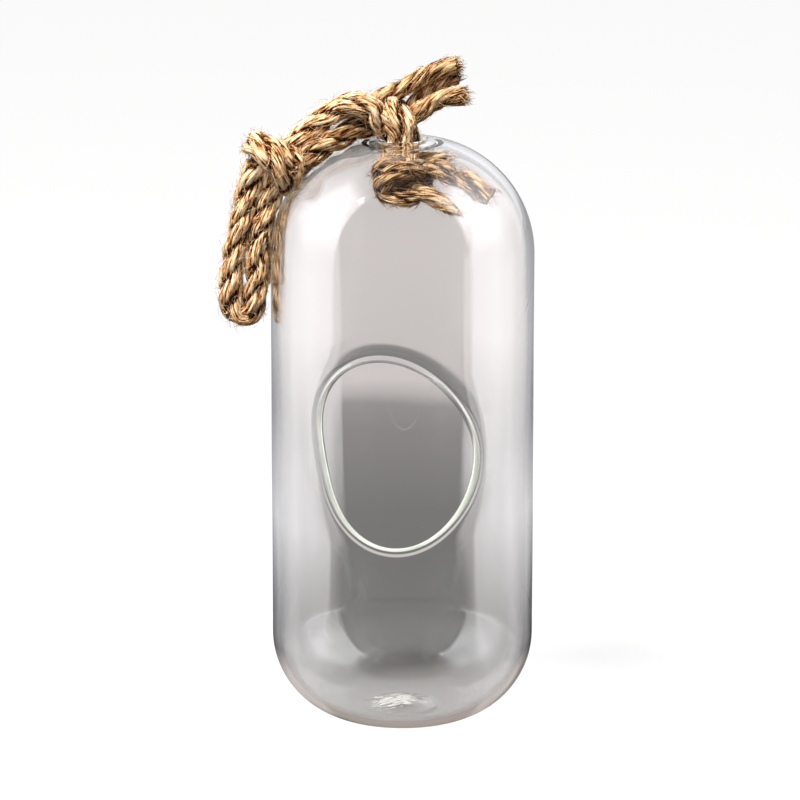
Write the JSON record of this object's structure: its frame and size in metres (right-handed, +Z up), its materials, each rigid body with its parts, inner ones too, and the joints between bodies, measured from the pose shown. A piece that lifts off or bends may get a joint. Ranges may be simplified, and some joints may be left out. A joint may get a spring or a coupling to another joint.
{
  "type": "hanging glass terrarium",
  "caption": "Upright blown-glass terrarium bottle with an egg-shaped side opening, hung by a knotted jute rope through its crown.",
  "frame": {"origin": "middle of the base, on the surface that the bottle stands on", "axes": "+Z up along the bottle's axis; the side opening faces -Y; the hanging loop lies on the -X side"},
  "size_m": [0.1049, 0.0885, 0.2246],
  "materials": {
    "clear_glass": "clear, fire-polished, very slightly green at its edges",
    "jute_rope": "three-strand twisted jute, hairy, matt"
  },
  "bodies": {
    "bottle": {"glass_vessel": "clear_glass"},
    "hanger": {"loop_knot": "jute_rope", "loop_knot_end": "jute_rope", "upper_leg": "jute_rope", "lower_leg": "jute_rope", "tucked_turn": "jute_rope", "tail_strand_1": "jute_rope", "tail_strand_2": "jute_rope", "tail_strand_3": "jute_rope", "stopper_knot": "jute_rope", "inner_tail_long": "jute_rope", "inner_tail_pointed": "jute_rope", "inner_tail_short": "jute_rope"},
    "loop": {"hanging_loop": "jute_rope"}
  },
  "joints": [
    {"name": "hanger_turn", "type": "hinge", "parent": "bottle", "child": "hanger", "pos_m": [0, 0, 0.195], "axis": [0, 0, 1], "continuous": true},
    {"name": "loop_swing", "type": "hinge", "parent": "hanger", "child": "loop", "pos_m": [-0.0481, 0, 0.1782], "axis": [1, 0, 0], "range_deg": [-75, 5]}
  ]
}
